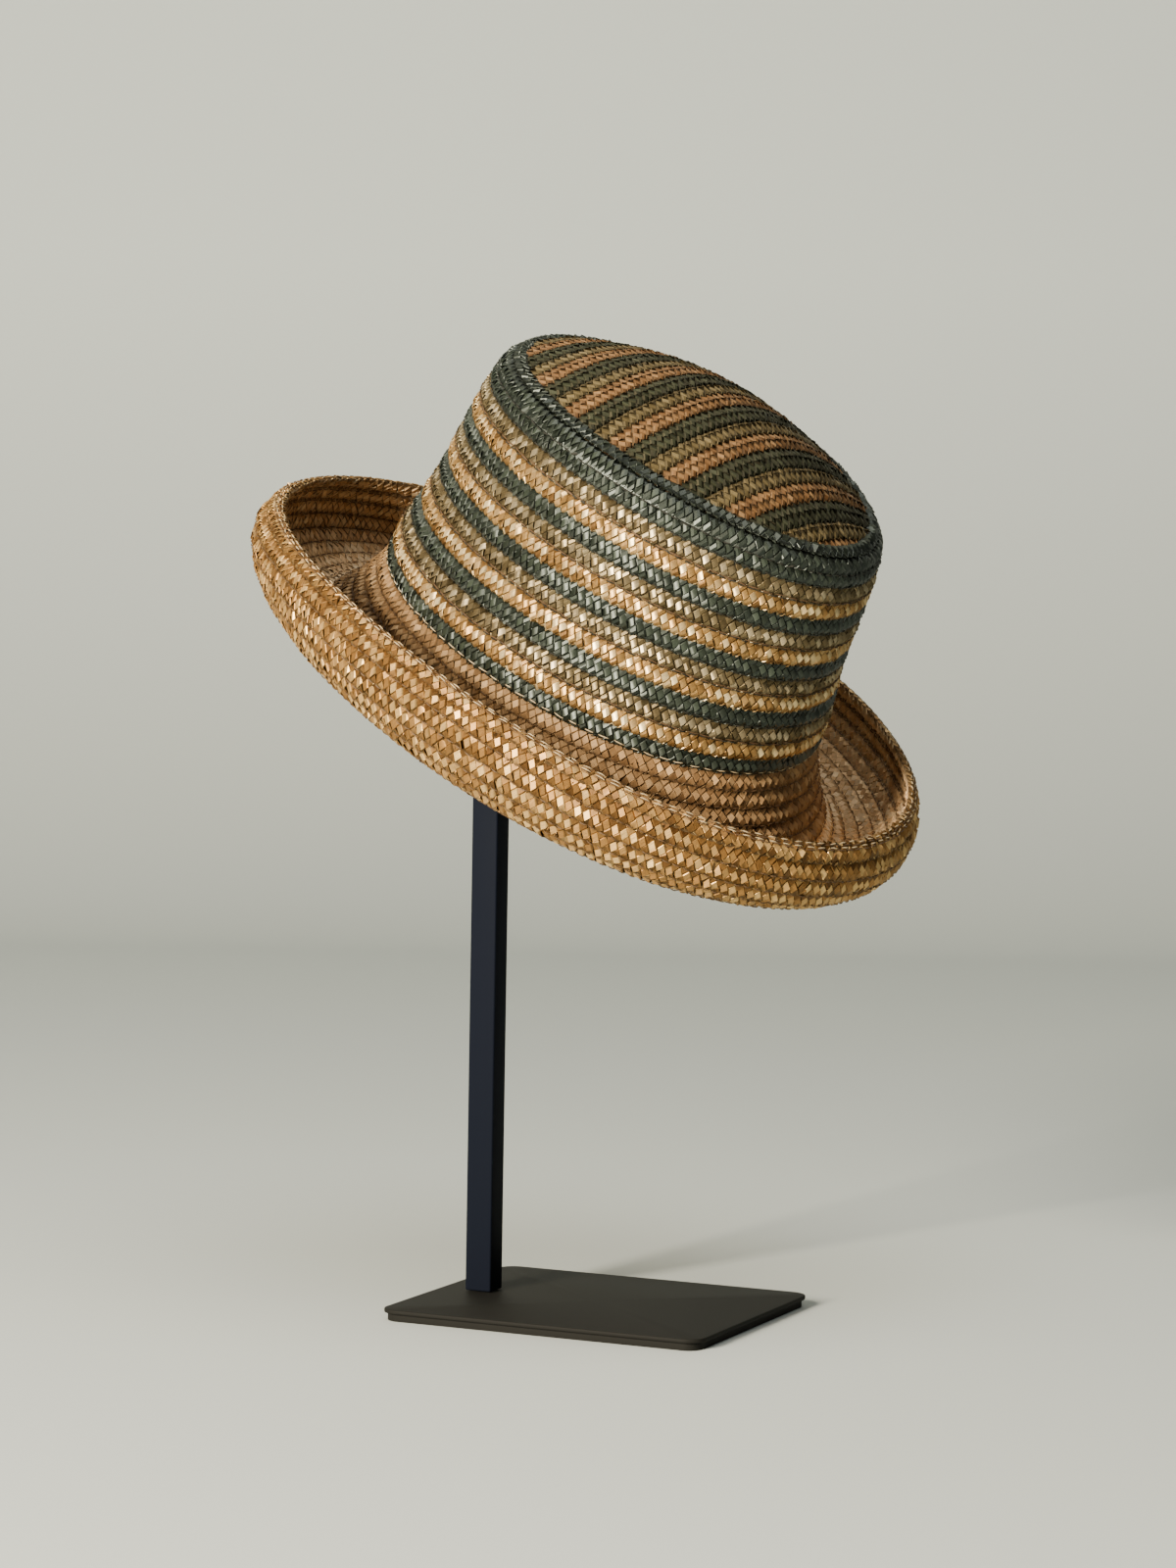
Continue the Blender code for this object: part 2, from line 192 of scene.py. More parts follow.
def onSection(loop, share):
    # point and outward direction on the section at a share of the way round it
    travelled, across, out = loop
    length = travelled[-1]
    place = np.mod(share, 1.0) * length
    step = length / 400
    x, z = np.interp(place, travelled, across), np.interp(place, travelled, out)
    ahead, behind = np.mod(place + step, length), np.mod(place - step, length)
    runX = np.interp(ahead, travelled, across) - np.interp(behind, travelled, across)
    runZ = np.interp(ahead, travelled, out) - np.interp(behind, travelled, out)
    size = np.hypot(runX, runZ)
    return x, z, runZ / size, -runX / size


def strawPatches(count, layers, layerList, along, across, closedRow, size):
    # every visible straw of the chosen layers: cell centre plus p and q steps along the two diagonals
    cells, layer = np.meshgrid(np.arange(count), np.array(layerList), indexing="ij")
    cells, layer = cells.ravel()[:, None, None], layer.ravel()[:, None, None]
    leaning = layer % 2
    p, q = along[None, :, None], across[None, None, :]
    flip = np.where(leaning == 0, 1.0, -1.0)
    stray = rng.normal(0, plait["stray"], (2,) + cells.shape)
    u = cells + leaning / 2 + (p + q) / 4 + stray[0]
    w = layer + flip * (p - q) / 2 + stray[1]
    # level to flatTo, then a straight dip under the next straw
    dipping = np.clip((np.abs(p) - plait["flatTo"]) / (plait["dipEnd"] - plait["flatTo"]), 0, 1)
    depth = 1 - plait["dip"] * dipping + 0 * u
    straw = np.where(leaning == 0, 2 * cells - layer, 2 * cells + layer + 1) + 0 * layer
    period = 2 * count if closedRow else 4 * count + 4 * layers
    strawTint = rng.random(period)[np.mod(straw, period)]
    cellTint = rng.random(cells.shape)
    # painted sheen: straws that run one way round are painted paler than those that run the other way
    tint = (plait["strawTint"] * strawTint + plait["cellTint"] * cellTint
            + plait["paintedSheen"] * (leaning == 0))
    tipping = rng.normal(0, 1, cells.shape) * p + rng.normal(0, 1, cells.shape) * q
    # each straw lies a little askew, and leans like a roof tile
    askew = (plait["tilt"] * tipping + plait["lean"] * q) * (np.abs(p) < 1)
    lift = plait["lift"] * depth - plait["roof"] * np.abs(p) + askew
    atEdge = np.abs(q) > plait["edgeFrom"]
    if len(across) > 2:
        lift = lift - plait["strawEdge"] * atEdge
    # painted shade: the shade value is lower where the straw dips under its neighbour and along its side
    # edges
    shade = np.clip(depth, 0, 1) - plait["strawEdgeDark"] * atEdge
    return {"u": u, "w": w, "lift": size * lift + 0 * u, "tint": tint + 0 * u, "shade": shade + 0 * u,
            "p": p + 0 * u, "q": q + 0 * u, "flip": flip + 0 * u, "spin": rng.random(cells.shape) + 0 * u}


def patchQuads(patches, rows, columns, flip):
    # vertex numbers of the quads in a stack of equal grids, wound to face outwards
    i, j = np.meshgrid(np.arange(rows - 1), np.arange(columns - 1), indexing="ij")
    corner = (i * columns + j).ravel()
    quads = np.stack([corner, corner + columns, corner + columns + 1, corner + 1], axis=-1)
    quads = quads[None] + (np.arange(patches) * rows * columns)[:, None, None]
    turnedOver = flip[:, None, None] < 0
    return np.where(turnedOver, quads[..., ::-1], quads).reshape(-1, 4)


class Surface:
    # points, quads and per-point values gathered for one piece
    def __init__(self):
        self.points, self.quads, self.tint, self.shade, self.inner, self.uv = [], [], [], [], [], []
        self.count = 0

    def add(self, points, quads, tint, shade, inner, uv):
        self.points.append(points.reshape(-1, 3))
        self.quads.append(quads + self.count)
        self.tint.append(np.broadcast_to(tint, points.shape[:-1]).ravel())
        self.shade.append(np.broadcast_to(shade, points.shape[:-1]).ravel())
        self.inner.append(np.broadcast_to(inner, points.shape[:-1]).ravel())
        self.uv.append(uv.reshape(-1, 2))
        self.count += points.reshape(-1, 3).shape[0]


def surfaceFrame(surface, across, along):
    # point and unit normal of a surface from small steps both ways
    smallAcross, smallAlong = 2e-5, 1e-4
    point = surface(across, along)
    down = surface(across + smallAcross, along) - surface(across - smallAcross, along)
    beside = surface(across, along + smallAlong) - surface(across, along - smallAlong)
    normal = np.cross(down, beside)
    return point, normal / np.linalg.norm(normal, axis=-1, keepdims=True)


def braidOn(gathered, surface, alongAt, rowLength, centre, width, thickness, closedRow, weave,
            fineLayers=None, tilt=None):
    # lays one plaited braid on a surface: the plait's cells go round a flat section and along the row
    tilt = plait["shingle"] if tilt is None else tilt
    weave = weaves[weave]
    loop = sectionLoop(width / 2, thickness / 2, plait["sectionPower"])
    layers = 2 * max(2, round(loop[0][-1] / weave["layer"] / 2))
    count = max(3, round(rowLength / weave["pitch"]))
    half = layers // 2
    fine = list(range(0, half)) if fineLayers is None else fineLayers(layers)
    plain = [layer for layer in range(layers) if layer not in fine]
    for layerList, along, across in ((fine, np.array(weave["along"]), fineAcross),
                                     (plain, plainAlong, plainAcross)):
        if not layerList:
            continue
        cells = strawPatches(count, layers, layerList, along, across, closedRow, weave["layer"])
        x, z, outX, outZ = onSection(loop, cells["w"] / layers)
        x = x + outX * cells["lift"]
        z = z + outZ * cells["lift"] + tilt * x
        # painted shade: the row's two edges are darkened into shadow lines
        fromEdge = np.clip((1 - np.abs(x) / (width / 2)) / plait["edgeShare"], 0, 1)
        cells["shade"] = cells["shade"] * (1 - plait["edgeDark"] * (1 - fromEdge))
        spot, normal = surfaceFrame(surface, centre + x, alongAt(cells["u"] / count, x))
        points = spot + normal * z[..., None]
        quads = patchQuads(len(points), len(along), len(across), cells["flip"][:, 0, 0])
        # u across the straw and v along it, each straw moved to its own part of the fibres
        uv = np.stack([cells["q"] * 0.5 + 7 * cells["spin"], cells["p"] * 0.5 + 13 * cells["spin"]], axis=-1)
        # inner is 1 on the face that looks along the surface's normal, and 0 on the back
        inner = np.clip(0.5 + 2 * outZ, 0, 1)
        gathered.add(points, quads, cells["tint"], cells["shade"], inner, uv)
    # a dark core closes the small holes between straws; its dark colour is painted shade seen through the
    # holes
    steps, sides = count + (0 if closedRow else 1), plait["coreSides"]
    ring, turn = np.meshgrid(np.arange(steps) / count, np.arange(sides) / sides, indexing="ij")
    x, z, outX, outZ = onSection(loop, turn)
    x, z = x - outX * plait["core"], z - outZ * plait["core"]
    z = z + tilt * x
    spot, normal = surfaceFrame(surface, centre + x, alongAt(ring, x))
    points = spot + normal * z[..., None]
    i, j = np.meshgrid(np.arange(steps if closedRow else steps - 1), np.arange(sides), indexing="ij")
    ahead, beside = (i + 1) % steps, (j + 1) % sides
    quads = np.stack([i * sides + j, ahead * sides + j, ahead * sides + beside, i * sides + beside], axis=-1)
    inner = np.clip(0.5 + 2 * outZ, 0, 1)
    gathered.add(points, quads.reshape(-1, 4), plait["coreTint"], plait["coreShade"], inner,
                 np.stack([ring * 50, turn * 5], axis=-1))


def evenAngles(surface, across):
    # angle at an even share of the way round a closed row, from a table of its length
    turn = np.linspace(0, 2 * math.pi, 721)
    ring = surface(across + 0 * turn, turn)
    travelled = np.concatenate([[0], np.cumsum(np.linalg.norm(np.diff(ring, axis=0), axis=-1))])

    def alongAt(share, x):
        whole = np.floor(share)
        return np.interp((share - whole) * travelled[-1], travelled, turn) + whole * 2 * math.pi
    return alongAt, travelled[-1]


def makePiece(name, gathered, material, nodes):
    points = onStand(np.concatenate(gathered.points))
    quads = np.concatenate(gathered.quads)
    mesh = bpy.data.meshes.new(name)
    mesh.from_pydata(points, [], quads)
    mesh.update()
    corners = np.zeros(len(mesh.loops), dtype=np.int32)
    mesh.loops.foreach_get("vertex_index", corners)
    uvMap = mesh.uv_layers.new(name="straw")
    uvMap.data.foreach_set("uv", np.concatenate(gathered.uv)[corners].astype(np.float32).ravel())
    for label, values in (("tint", gathered.tint), ("shade", gathered.shade), ("inner", gathered.inner)):
        attribute = mesh.attributes.new(label, "FLOAT", "POINT")
        attribute.data.foreach_set("value", np.concatenate(values).astype(np.float32))
    mesh.shade_smooth()
    mesh.set_sharp_from_angle(angle=math.radians(plait["sharpAngle"]))
    mesh.materials.append(material)
    piece = bpy.data.objects.new(name, mesh)
    bpy.context.scene.collection.objects.link(piece)
    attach(piece, "root")
    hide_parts(*nodes)
    print("piece", name, "triangles", 2 * len(quads))
    return piece


straw = {
    "tan": {"dark": (0.165, 0.082, 0.024), "middle": (0.40, 0.235, 0.080), "light": (0.94, 0.74, 0.40)},
    "olive": {"dark": (0.056, 0.041, 0.018), "middle": (0.140, 0.105, 0.052), "light": (0.52, 0.43, 0.270)},
    "green": {"dark": (0.004, 0.006, 0.004), "middle": (0.011, 0.014, 0.009), "light": (0.031, 0.040, 0.028)},
    "natural": {"dark": (0.130, 0.057, 0.014), "middle": (0.34, 0.172, 0.049), "light": (0.80, 0.53, 0.210)},
    "slope": {"dark": (0.155, 0.083, 0.034), "middle": (0.30, 0.172, 0.074), "light": (0.50, 0.320, 0.155)},
}
# the tip's straws are darker than the side's: partly a redder straw, partly painted shade on the
# upward-facing tip against the light from above
tipStraw = {
    "tan": {"dark": (0.11, 0.050, 0.017), "middle": (0.20, 0.098, 0.036), "light": (0.38, 0.215, 0.092)},
    "olive": {"dark": (0.058, 0.042, 0.016), "middle": (0.115, 0.084, 0.034), "light": (0.22, 0.168, 0.078)},
    "green": {"dark": (0.011, 0.014, 0.007), "middle": (0.023, 0.028, 0.015), "light": (0.048, 0.056, 0.032)},
}
# the brim's inside face is painted paler than its outside: painted light that lifts the shade in the brim's
# hollow
brimInsidePaintedLight = {"dark": (0.66, 0.42, 0.210), "middle": (0.84, 0.60, 0.340), "light": (0.93, 0.76, 0.50)}
# gloss of the straw: sheen is the Metallic value, which gives a straw's skin its silky highlight
warmGlint, coolGlint = (1.0, 0.84, 0.54, 1.0), (0.88, 1.0, 0.90, 1.0)
glossy = {"roughest": 0.46, "smoothest": 0.32, "inside": 0.75, "specular": 0.8, "sheen": 0.60,
          "glint": warmGlint}
darkGlossy = {"roughest": 0.50, "smoothest": 0.36, "inside": 0.75, "specular": 0.65, "sheen": 0.0,
              "glint": coolGlint}
dull = {"roughest": 0.64, "smoothest": 0.50, "inside": 0.75, "specular": 0.60, "sheen": 0.1,
        "glint": warmGlint}
# crossingDark is the colour's factor at full painted shade
strawFinish = {
    "fibreStretch": (16.0, 1.1, 1.0), "fibreDetail": 3.0, "fibreFrom": 0.3, "fibreTo": 0.7,
    "fibreBump": 0.20, "fibreDepth": 0.00012, "streakDark": 0.72, "streakPale": 1.18,
    "crossingDark": 0.26, "darkTint": 0.12, "paleTint": 0.88, "anisotropic": 0.75,
}


def newMaterial(name):
    material = bpy.data.materials.new(name)
    material.use_nodes = True
    return material, material.node_tree, material.node_tree.nodes["Principled BSDF"]


def attributeNode(tree, name):
    node = tree.nodes.new("ShaderNodeAttribute")
    node.attribute_name = name
    return node


def tintRamp(tree, tint, shades):
    # dark to light by the straw's tint
    ramp = tree.nodes.new("ShaderNodeValToRGB")
    ramp.color_ramp.elements[0].position = strawFinish["darkTint"]
    ramp.color_ramp.elements[0].color = (*shades["dark"], 1)
    ramp.color_ramp.elements[1].position = strawFinish["paleTint"]
    ramp.color_ramp.elements[1].color = (*shades["light"], 1)
    middle = ramp.color_ramp.elements.new(0.5)
    middle.color = (*shades["middle"], 1)
    tree.links.new(tint.outputs["Fac"], ramp.inputs["Fac"])
    return ramp.outputs["Color"]


def strawMaterial(name, shades, finish, insideShades=None):
    # tint picks the straw's tone, with its painted sheen, fibres streak it along its run, and painted shade
    # darkens it where straws cross and along row and straw edges;
    # with inside shades, inner mixes the outside's ramp into the inside's, whose paler colours are painted
    # light
    material, tree, shader = newMaterial(name)
    nodes, links = tree.nodes, tree.links
    tint = attributeNode(tree, "tint")
    shadeColour = tintRamp(tree, tint, shades)
    if insideShades:
        mix = nodes.new("ShaderNodeMix")
        mix.data_type = "RGBA"
        links.new(attributeNode(tree, "inner").outputs["Fac"], mix.inputs["Factor"])
        links.new(shadeColour, mix.inputs["A"])
        links.new(tintRamp(tree, tint, insideShades), mix.inputs["B"])
        shadeColour = mix.outputs["Result"]
    strawMap = nodes.new("ShaderNodeUVMap")
    strawMap.uv_map = "straw"
    stretch = nodes.new("ShaderNodeMapping")
    stretch.inputs["Scale"].default_value = strawFinish["fibreStretch"]
    links.new(strawMap.outputs["UV"], stretch.inputs["Vector"])
    fibres = nodes.new("ShaderNodeTexNoise")
    fibres.inputs["Scale"].default_value = 1.0
    fibres.inputs["Detail"].default_value = strawFinish["fibreDetail"]
    links.new(stretch.outputs["Vector"], fibres.inputs["Vector"])
    streak = nodes.new("ShaderNodeMapRange")
    streak.inputs["From Min"].default_value = strawFinish["fibreFrom"]
    streak.inputs["From Max"].default_value = strawFinish["fibreTo"]
    streak.inputs["To Min"].default_value = strawFinish["streakDark"]
    streak.inputs["To Max"].default_value = strawFinish["streakPale"]
    links.new(fibres.outputs["Fac"], streak.inputs["Value"])
    # painted shade: the shade attribute darkens the colour at crossings and along edges
    depth = attributeNode(tree, "shade")
    crossing = nodes.new("ShaderNodeMapRange")
    crossing.inputs["To Min"].default_value = strawFinish["crossingDark"]
    crossing.inputs["To Max"].default_value = 1.0
    links.new(depth.outputs["Fac"], crossing.inputs["Value"])
    together = nodes.new("ShaderNodeMath")
    together.operation = "MULTIPLY"
    links.new(streak.outputs["Result"], together.inputs[0])
    links.new(crossing.outputs["Result"], together.inputs[1])
    colour = nodes.new("ShaderNodeVectorMath")
    colour.operation = "SCALE"
    links.new(shadeColour, colour.inputs[0])
    links.new(together.outputs["Value"], colour.inputs["Scale"])
    links.new(colour.outputs["Vector"], shader.inputs["Base Color"])
    gloss = nodes.new("ShaderNodeMapRange")
    gloss.inputs["From Min"].default_value = strawFinish["fibreFrom"]
    gloss.inputs["From Max"].default_value = strawFinish["fibreTo"]
    gloss.inputs["To Min"].default_value = finish["smoothest"]
    gloss.inputs["To Max"].default_value = finish["roughest"]
    links.new(fibres.outputs["Fac"], gloss.inputs["Value"])
    roughness = gloss.outputs["Result"]
    if insideShades:
        matt = nodes.new("ShaderNodeMix")
        matt.inputs["B"].default_value = finish["inside"]
        links.new(attributeNode(tree, "inner").outputs["Fac"], matt.inputs["Factor"])
        links.new(roughness, matt.inputs["A"])
        roughness = matt.outputs["Result"]
    links.new(roughness, shader.inputs["Roughness"])
    bump = nodes.new("ShaderNodeBump")
    bump.inputs["Strength"].default_value = strawFinish["fibreBump"]
    bump.inputs["Distance"].default_value = strawFinish["fibreDepth"]
    links.new(fibres.outputs["Fac"], bump.inputs["Height"])
    links.new(bump.outputs["Normal"], shader.inputs["Normal"])
    shader.inputs["Metallic"].default_value = finish["sheen"]
    shader.inputs["Specular IOR Level"].default_value = finish["specular"]
    shader.inputs["Specular Tint"].default_value = finish["glint"]
    shader.inputs["Anisotropic"].default_value = strawFinish["anisotropic"]
    across = nodes.new("ShaderNodeTangent")
    across.direction_type = "UV_MAP"
    across.uv_map = "straw"
    links.new(across.outputs["Tangent"], shader.inputs["Tangent"])
    return material


strawMaterials = {name: strawMaterial(name + " straw", straw[name], glossy) for name in ("tan", "olive")}
strawMaterials["green"] = strawMaterial("green straw", straw["green"], darkGlossy)
strawMaterials["natural"] = strawMaterial("natural straw", straw["natural"], glossy, brimInsidePaintedLight)
slopeMaterial = strawMaterial("slope straw", straw["slope"], dull)
tipMaterials = {name: strawMaterial("tip " + name + " straw", shades, dull)
                for name, shades in tipStraw.items()}

# crown side: twelve rows, then the wide row under the ridge
sideRows = {"count": 12, "rimRowHeight": 0.0111, "gap": 0.0003}
sideTop = ridgeHeight - ridge["diameter"] / 2 - sideRows["gap"] - sideRows["rimRowHeight"]


def crownDown(distance, angle):
    # the crown's side by distance down from the rim
    return crownSide(crown["height"] - distance, angle)


def makeSideRow(name, bottom, height, colour, node):
    # one braid round the crown, its upper edge tucked under the row above
    width = height + plait["overlap"]
    centre = crown["height"] - bottom - width / 2
    alongAt, length = evenAngles(crownDown, centre)
    gathered = Surface()
    braidOn(gathered, crownDown, alongAt, length, centre, width, plait["braidThickness"], True, "crown")
    makePiece(name, gathered, strawMaterials[colour], [node])


def makeRimRows():
    # two narrow green braids share the space of the wide row under the ridge
    half = sideRows["rimRowHeight"] / 2
    width = half + plait["overlap"]
    gathered = Surface()
    for bottom in (sideTop, sideTop + half):
        centre = crown["height"] - bottom - width / 2
        alongAt, length = evenAngles(crownDown, centre)
        braidOn(gathered, crownDown, alongAt, length, centre, width, plait["braidThickness"], True, "crown")
    makePiece("rimBraid", gathered, strawMaterials["green"], ["rim_row"])


pitch = sideTop / sideRows["count"]
for node in sorted(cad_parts):
    if node.startswith("side_row_"):
        number, colour = node.split("_")[2:4]
        bottom = (sideRows["count"] - int(number)) * pitch
        makeSideRow("sideBraid" + number, bottom, pitch, colour, node)
makeRimRows()
print("crown side done")


# the flat band on the tip's edge, set in from the crown's top oval and rising as a share of that
rimBand = {"width": 0.0068, "inset": 0.0029, "thickness": 0.0023, "rise": 0.20, "lift": -0.0003}


def makeRidge():
    # the green edge of the tip: a flat braid on the border, over the ends of the strips
    def border(distance, angle):
        # the crown's top oval, moved in, and rising towards the dome
        inward = rimBand["inset"] - distance
        edge = crownSide(ridgeHeight + 0 * angle, angle)
        shift = np.stack([-inward * np.cos(angle), -inward * np.sin(angle), rimBand["rise"] * inward
                          + crown["height"] - ridgeHeight + rimBand["lift"] + 0 * angle], axis=-1)
        return edge + shift

    alongAt, length = evenAngles(border, 0.0)
    gathered = Surface()
    braidOn(gathered, border, alongAt, length, 0.0, rimBand["width"], rimBand["thickness"], True, "rim",
            fineLayers=lambda layers: list(range(layers)), tilt=0.0)
    makePiece("ridgeBraid", gathered, strawMaterials["green"], ["rim_ridge"])


makeRidge()

tip = {"endUnderRidge": 0.0012, "overlapShare": 0.5, "tilt": 0.03}


def makeTipStrip(name, start, end, colour, node):
    # a straight braid over the dome, its ends held to the panel's oval
    halfLength, halfWidth = tipPanel()
    limitX, limitY = halfLength + tip["endUnderRidge"], halfWidth + tip["endUnderRidge"]
    middle = (start + end) / 2
    nearest = min(abs(start), abs(end)) if start * end > 0 else 0.0
    reach = limitY * math.sqrt(max(1 - (nearest / limitX) ** 2, 0.0))

    def strip(x, y):
        outside = np.maximum(np.hypot(x / limitX, y / limitY), 1.0)
        return tipDome(x / outside, y / outside)

    def acrossStrip(distance, along):
        return strip(distance, -along)

    def alongAt(share, x):
        return (2 * share - 1) * reach

    gathered = Surface()
    width = end - start + plait["overlap"] * tip["overlapShare"]
    braidOn(gathered, acrossStrip, alongAt, 2 * reach, middle, width, plait["braidThickness"], False, "tip",
            tilt=tip["tilt"])
    makePiece(name, gathered, tipMaterials[colour], [node])


# a strip's place across the tip comes from its solid's box, turned back into the hat's frame
for node in sorted(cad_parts):
    if node.startswith("tip_strip_"):
        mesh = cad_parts[node].data
        corners = np.zeros(len(mesh.vertices) * 3)
        mesh.vertices.foreach_get("co", corners)
        inHat = (corners.reshape(-1, 3) - np.array(hatPlace["at"])) @ hatTurn
        across = inHat[:, 0] - crown["shiftX"]
        number, colour = node.split("_")[2:4]
        makeTipStrip("tipBraid" + number, across.min(), across.max(), colour, node)
print("tip done")

brimRowWidth = brimPitch + plait["overlap"]


def makeBrim():
    # one spiral braid seen as rows, shared out among the three solids by their place on the profile
    def bothFaces(layers):
        return [layer for layer in range(layers) if layer != layers // 2]

    shares = {"brim_slope": (0, 5), "brim_trough": (5, 10), "brim_upturn": (10, brim["rows"])}
    for node, (first, last) in shares.items():
        gathered = Surface()
        for row in range(first, last):
            centre = (row + 1) * brimPitch - brimRowWidth / 2
            alongAt, length = evenAngles(brimSurface, centre)
            # the slope's back is under the hat, so its straws are plain there
            braidOn(gathered, brimSurface, alongAt, length, centre, brimRowWidth,
                    plait["braidThickness"], True, "brim",
                    fineLayers=None if node == "brim_slope" else bothFaces)
        material = slopeMaterial if node == "brim_slope" else strawMaterials["natural"]
        makePiece(node.replace("_", "") + "Braid", gathered, material, [node])


makeBrim()
print("brim done")

# sewing thread: short stitches that lie along the rows, their ends thinner and pulled down
thread = {
    "radius": 0.00024, "wobble": 0.00022, "unevenStep": 0.05, "sides": 4,
    "stops": (0.0, 0.3, 0.7, 1.0), "arch": (-0.00030, 0.00006, 0.00006, -0.00030),
    "thick": (0.35, 1.0, 1.0, 0.35), "twist": 900.0, "twistDark": 0.6, "roughness": 0.7,
    "dark": (0.018, 0.017, 0.010), "brown": (0.105, 0.055, 0.020), "pale": (0.62, 0.48, 0.28),
}
# how far in from the row's edge each seam lies, its stitch and step, and its height on the braid
seams = {
    "crownBase": {"edge": 0.0019, "stitch": 0.0046, "step": 0.0064, "above": 0.00045},
    "green": {"edge": 0.0010, "stitch": 0.0034, "step": 0.0045, "above": 0.00065},
    "oliveBrown": {"edge": 0.0012, "stitch": 0.0053, "step": 0.0056, "above": 0.00065},
    "oliveDark": {"edge": 0.0006, "stitch": 0.0034, "step": 0.0045, "above": 0.00065},
    "rim": {"edge": 0.0008, "stitch": 0.0034, "step": 0.0045, "above": 0.00065},
    "brimTop": {"edge": 0.0009, "stitch": 0.0034, "step": 0.0045, "above": 0.00065},
    "brimBack": {"edge": 0.0012, "stitch": 0.0034, "step": 0.0045, "above": 0.00065},
    "crestPale": {"edges": (0.0009, 0.0027), "stitch": 0.0040, "step": 0.0064, "above": 0.00055},
    "crestBrown": {"edges": (0.0018, 0.0036), "stitch": 0.0052, "step": 0.0056, "above": 0.00055},
}


def sewRow(gathered, surface, centre, width, seam, face=1.0, side=1.0):
    # small tapered tubes on the outer face, or with face -1 on the back, set in from the row's lower
    # edge, or with side -1 from its upper edge
    edge, stitch, step, above = seam["edge"], seam["stitch"], seam["step"], seam["above"]
    alongAt, length = evenAngles(surface, centre)
    count = round(length / step)
    start = (np.arange(count) + rng.normal(0, thread["unevenStep"], count)) / count
    run = np.array(thread["stops"])[None, :] * stitch / length
    share = start[:, None] + run
    sway = rng.normal(0, thread["wobble"], (count, 2))
    x = side * (width / 2 - edge) + sway[:, :1] * (1 - run / run.max()) + sway[:, 1:] * run / run.max()
    loop = sectionLoop(width / 2, plait["braidThickness"] / 2, plait["sectionPower"])
    half = len(loop[0]) // 2
    z = np.interp(-x, -loop[1][:half], loop[2][:half]) + face * plait["shingle"] * x + above
    arch = np.array(thread["arch"])[None, :]
    thick = np.array(thread["thick"])[None, :, None] * thread["radius"]
    sides, stops = thread["sides"], run.shape[1]
    turn = (np.arange(sides) * 2 * math.pi / sides)[None, None, :]
    spot, normal = surfaceFrame(surface, centre + (x[..., None] + thick * np.cos(turn)),
                                alongAt(share[..., None] + 0 * turn, x))
    points = spot + normal * (face * (z + arch)[..., None] + thick * np.sin(turn))[..., None]
    i, j = np.meshgrid(np.arange(stops - 1), np.arange(sides), indexing="ij")
    ahead, beside = i + 1, (j + 1) % sides
    quads = np.stack([i * sides + j, ahead * sides + j, ahead * sides + beside, i * sides + beside], axis=-1)
    quads = (quads.reshape(1, -1, 4) + (np.arange(count) * stops * sides)[:, None, None]).reshape(-1, 4)
    gathered.add(points, quads, 0.5, 1.0, 0.0, np.zeros(points.shape[:-1] + (2,)))


def threadMaterial(name, colour):
    # twisted cotton: fine noise between a darker shade of its colour and the colour
    material, tree, shader = newMaterial(name)
    place = tree.nodes.new("ShaderNodeTexCoord")
    fuzz = tree.nodes.new("ShaderNodeTexNoise")
    fuzz.inputs["Scale"].default_value = thread["twist"]
    tree.links.new(place.outputs["Object"], fuzz.inputs["Vector"])
    ramp = tree.nodes.new("ShaderNodeValToRGB")
    ramp.color_ramp.elements[0].color = (*(thread["twistDark"] * part for part in colour), 1)
    ramp.color_ramp.elements[1].color = (*colour, 1)
    tree.links.new(fuzz.outputs["Fac"], ramp.inputs["Fac"])
    tree.links.new(ramp.outputs["Color"], shader.inputs["Base Color"])
    shader.inputs["Roughness"].default_value = thread["roughness"]
    return material


def makeThreads():
    # rows are counted up from the crown's base: green, tan and olive, four times over
    darkThread, paleThread, brownThread = Surface(), Surface(), Surface()
    width = pitch + plait["overlap"]
    for row in range(sideRows["count"]):
        centre = crown["height"] - row * pitch - width / 2
        if row == 0:
            sewRow(paleThread, crownDown, centre, width, seams["crownBase"])
        elif row % 3 == 0:
            sewRow(darkThread, crownDown, centre, width, seams["green"])
        elif row % 3 == 2:
            sewRow(brownThread, crownDown, centre, width, seams["oliveBrown"])
            sewRow(darkThread, crownDown, centre, width, seams["oliveDark"])
    rimWidth = sideRows["rimRowHeight"] / 2 + plait["overlap"]
    for bottom in (sideTop, sideTop + sideRows["rimRowHeight"] / 2):
        sewRow(darkThread, crownDown, crown["height"] - bottom - rimWidth / 2, rimWidth, seams["rim"])
    for row in range(brim["rows"] - 1):
        centre = (row + 1) * brimPitch - brimRowWidth / 2
        sewRow(brownThread, brimSurface, centre, brimRowWidth, seams["brimTop"])
        if row > 5:
            sewRow(brownThread, brimSurface, centre, brimRowWidth, seams["brimBack"], -1.0, -1.0)
    # two pale and two brown seams on the outside of the brim's last row
    lastRow = brim["rows"] * brimPitch - brimRowWidth / 2
    for edge in seams["crestPale"]["edges"]:
        sewRow(paleThread, brimSurface, lastRow, brimRowWidth, {**seams["crestPale"], "edge": edge}, -1.0)
    for edge in seams["crestBrown"]["edges"]:
        sewRow(brownThread, brimSurface, lastRow, brimRowWidth, {**seams["crestBrown"], "edge": edge}, -1.0)
    for name, gathered, colour, slotName in (("darkThread", darkThread, "dark", "green_straw"),
                                             ("paleThread", paleThread, "pale", "natural_straw"),
                                             ("brownThread", brownThread, "brown", "natural_straw")):
        makePiece(name, gathered, threadMaterial(name, thread[colour]), [])


makeThreads()
print("threads done")

